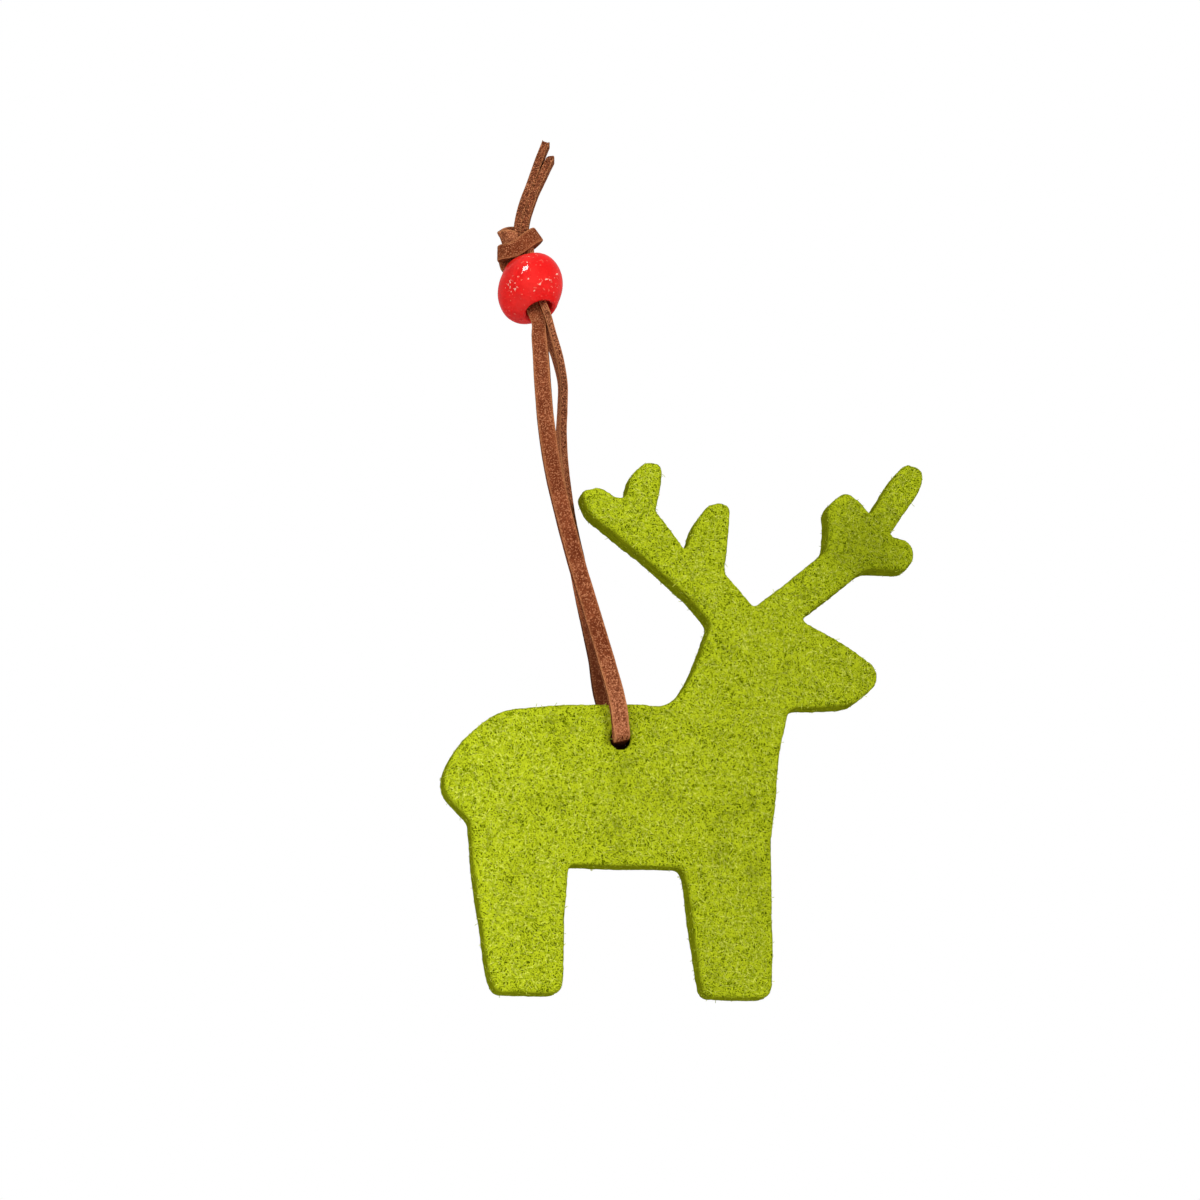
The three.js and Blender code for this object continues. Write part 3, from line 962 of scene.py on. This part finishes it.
def bubble_shape(ways):
    """How high the bubbles in the lacquer are in each direction: some all over, more in one patch."""
    chance = np.random.default_rng(bubble_seed)
    spots = chance.normal(size=(bubble_count, 3))
    patch = np.array(bubble_patch) + chance.normal(size=(patch_bubble_count, 3)) * patch_spread
    spots = np.vstack([spots, patch])
    spots /= np.linalg.norm(spots, axis=1)[:, None]
    sizes = chance.uniform(bubble_smallest, bubble_largest, len(spots))
    height = np.zeros(len(ways))
    for spot, size in zip(spots, sizes):
        away = np.linalg.norm(ways - spot, axis=1) * bead_radius / (bubble_radius * size)
        height = np.maximum(height, size * np.exp(-(away**2)))
    return height


def make_bead():
    """The turned and drilled ball, a little out of round, under its lacquer."""
    rows = bead_profile()
    upright = Vector((0, 0, 1)).rotation_difference(bore_upward)
    points = []
    outside = []
    for i in range(bead_sides):
        angle = 2 * math.pi * i / bead_sides
        spin = Vector((math.cos(angle), math.sin(angle), 0))
        points += [upright @ (spin * r + Vector((0, 0, h))) for r, h in rows]
        outside += [between(r, mouth_radius, mouth_radius + mouth_blend) for r, _ in rows]
    points = np.array(points)
    outside = np.array(outside)[:, None]
    ways = points / np.linalg.norm(points, axis=1)[:, None]
    longer = (points @ bead_long_way)[:, None] * bead_long_way
    shorter = (points @ bead_short_way)[:, None] * bead_short_way
    stretch = bead_out_of_round * (longer - shorter)
    run = run_shape(ways)
    bubbles = bubble_shape(ways)
    relief = (run * run_height + bubbles * bubble_height)[:, None] * ways
    points = points + outside * (stretch + relief) + np.array(bead_centre)
    size = len(rows)
    faces = []
    for i in range(bead_sides):
        near, far = i * size, ((i + 1) % bead_sides) * size
        for j in range(size):
            k = (j + 1) % size
            faces.append((near + k, near + j, far + j, far + k))
    bead = closed_solid("bead_lacquered", points.tolist(), faces)
    # The worn mark: the run and the bubble tops, painted pale as chipped lacquer and painted highlight.
    mark(bead.data, "worn", np.maximum(run, bubbles * bubble_chip_and_glint))
    roughen(bead.data, sag_depth, sag_size)
    bead.data.materials.append(make_lacquer())
    return bead


bead = make_bead()
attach(bead, "bead")
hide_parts("bead")

# The knot
# Both ends of the lace are tied in one flat knot: two crossed wraps pulled tight over the bead, and the
# two legs that come up out of its bore. The tails stand up out of it, cut off with scissors, one a
# little longer than the other.
front_wrap_tone = 0.1
rear_wrap_tone = 0.65
# The legs are painted dark as shade, where they lie between the wraps and the bead.
leg_shade_tone = -0.4
tail_tone = 0.4
notch_depth = 0.00055
notch_curve = 1.5
slant_point = 0.2
slant_right_drop = 0.0005
slant_left_drop = 0.0009
front_wrap_route = [
    (-0.0077, 0.0046, 0.018, 0),
    (-0.0072, 0.0033, 0.0178, 0),
    (-0.0062, 0.0029, 0.0179, 0),
    (-0.0053, 0.00285, 0.0184, 4),
    (-0.0043, 0.00285, 0.0192, 10),
    (-0.0032, 0.00295, 0.0202, 22),
    (-0.0022, 0.0034, 0.0211, 32),
    (-0.0014, 0.0045, 0.0218, 36),
    (-0.0022, 0.0059, 0.0212, 25),
    (-0.0038, 0.0064, 0.0202, 10),
    (-0.0054, 0.0064, 0.019, 5),
    (-0.0069, 0.0058, 0.018, 0),
]
rear_wrap_route = [
    (-0.0072, 0.0047, 0.0211, 24),
    (-0.0067, 0.00375, 0.0208, 24),
    (-0.0056, 0.00375, 0.0204, 10),
    (-0.0046, 0.004, 0.0201, 0),
    (-0.0034, 0.0043, 0.0198, 0),
    (-0.0024, 0.0049, 0.0199, 0),
    (-0.0026, 0.0058, 0.0206, 0),
    (-0.0038, 0.0062, 0.0218, 0),
    (-0.0053, 0.0063, 0.0224, 10),
    (-0.0064, 0.0058, 0.022, 24),
]
left_leg_route = [
    (-0.00493, 0.00423, 0.0146, -22, 0.83),
    (-0.005, 0.00435, 0.0153, -22, 0.83),
    (-0.0056, 0.0050, 0.0154, -26, 0.9),
    (-0.0061, 0.0053, 0.0156, -26, 0.95),
    (-0.0064, 0.0053, 0.0164, -10, 1),
    (-0.0064, 0.0049, 0.018, 0, 0.9),
]
right_leg_route = [
    (-0.00301, 0.00367, 0.0156, -112, 0.83),
    (-0.0031, 0.00378, 0.0162, -112, 0.83),
    (-0.0031, 0.0041, 0.0172, -112, 0.9),
    (-0.0032, 0.0044, 0.0188, -100, 1),
]
long_tail_route = [
    (-0.00475, 0.0046, 0.0205, 80, 0.9),
    (-0.00478, 0.0046, 0.0222, 80, 0.95),
    (-0.00436, 0.0046, 0.0252, 80, 1),
    (-0.00357, 0.0046, 0.0281, 80, 1),
    (-0.00268, 0.0046, 0.0307, 80, 1),
    (-0.00182, 0.0046, 0.0333, 80, 1),
    (-0.00096, 0.0046, 0.036, 80, 1),
    (0.00026, 0.0046, 0.03945, 80, 1),
]
short_tail_route = [
    (-0.00365, 0.0046, 0.0205, 80, 0.9),
    (-0.0035, 0.0046, 0.0222, 80, 0.95),
    (-0.00295, 0.0046, 0.0257, 80, 1),
    (-0.00227, 0.0046, 0.028, 80, 1),
    (-0.00152, 0.0046, 0.0303, 80, 1),
    (-0.00052, 0.0046, 0.0327, 80, 1),
    (0.00042, 0.0046, 0.0349, 80, 1),
    (0.00155, 0.0046, 0.0374, 80, 1),
]


def notched(through):
    """The long tail's end has a small notch between two points."""
    return notch_depth * abs(through) ** notch_curve


def slanted(through):
    """The short tail's end falls away on both sides of a point right of its middle."""
    right = -through - slant_point
    return -slant_right_drop * max(0, right) - slant_left_drop * max(0, -right)


def same_tone(tone):
    """The same tone all over a stretch."""
    return lambda place: tone


def lay_wrap(name, route, tone):
    """A wrap that closes on itself. The last number of a row is its lean to the left, in degrees."""
    rows = smooth_route(route, lace_step, closed=True)
    leans = [math.radians(lean) for lean in rows[:, 3]]
    widths = [(-math.sin(lean), 0, math.cos(lean)) for lean in leans]
    squeezes = [1] * len(rows)
    return lay_lace(name, rows[:, :3], widths, squeezes, closed=True, tone=same_tone(tone))


def lay_tail(name, route, ends):
    """A tail, with the hide's open grain all over it and its own cut at the end."""
    tail, _ = lay_route(name, route, ends=ends, pitted=1, tone=same_tone(tail_tone))
    return tail


front_wrap = lay_wrap("lace_knot_front_wrap", front_wrap_route, front_wrap_tone)
rear_wrap = lay_wrap("lace_knot_rear_wrap", rear_wrap_route, rear_wrap_tone)
left_leg, _ = lay_route("lace_knot_left_leg", left_leg_route, tone=same_tone(leg_shade_tone))
right_leg, _ = lay_route("lace_knot_right_leg", right_leg_route, tone=same_tone(leg_shade_tone))
long_tail = lay_tail("lace_long_tail_suede", long_tail_route, notched)
short_tail = lay_tail("lace_short_tail_suede", short_tail_route, slanted)
for stretch in (front_wrap, rear_wrap, left_leg, right_leg):
    tie_to_lace(stretch, "lace_knot")
tie_to_lace(long_tail, "lace_long_tail")
tie_to_lace(short_tail, "lace_short_tail")
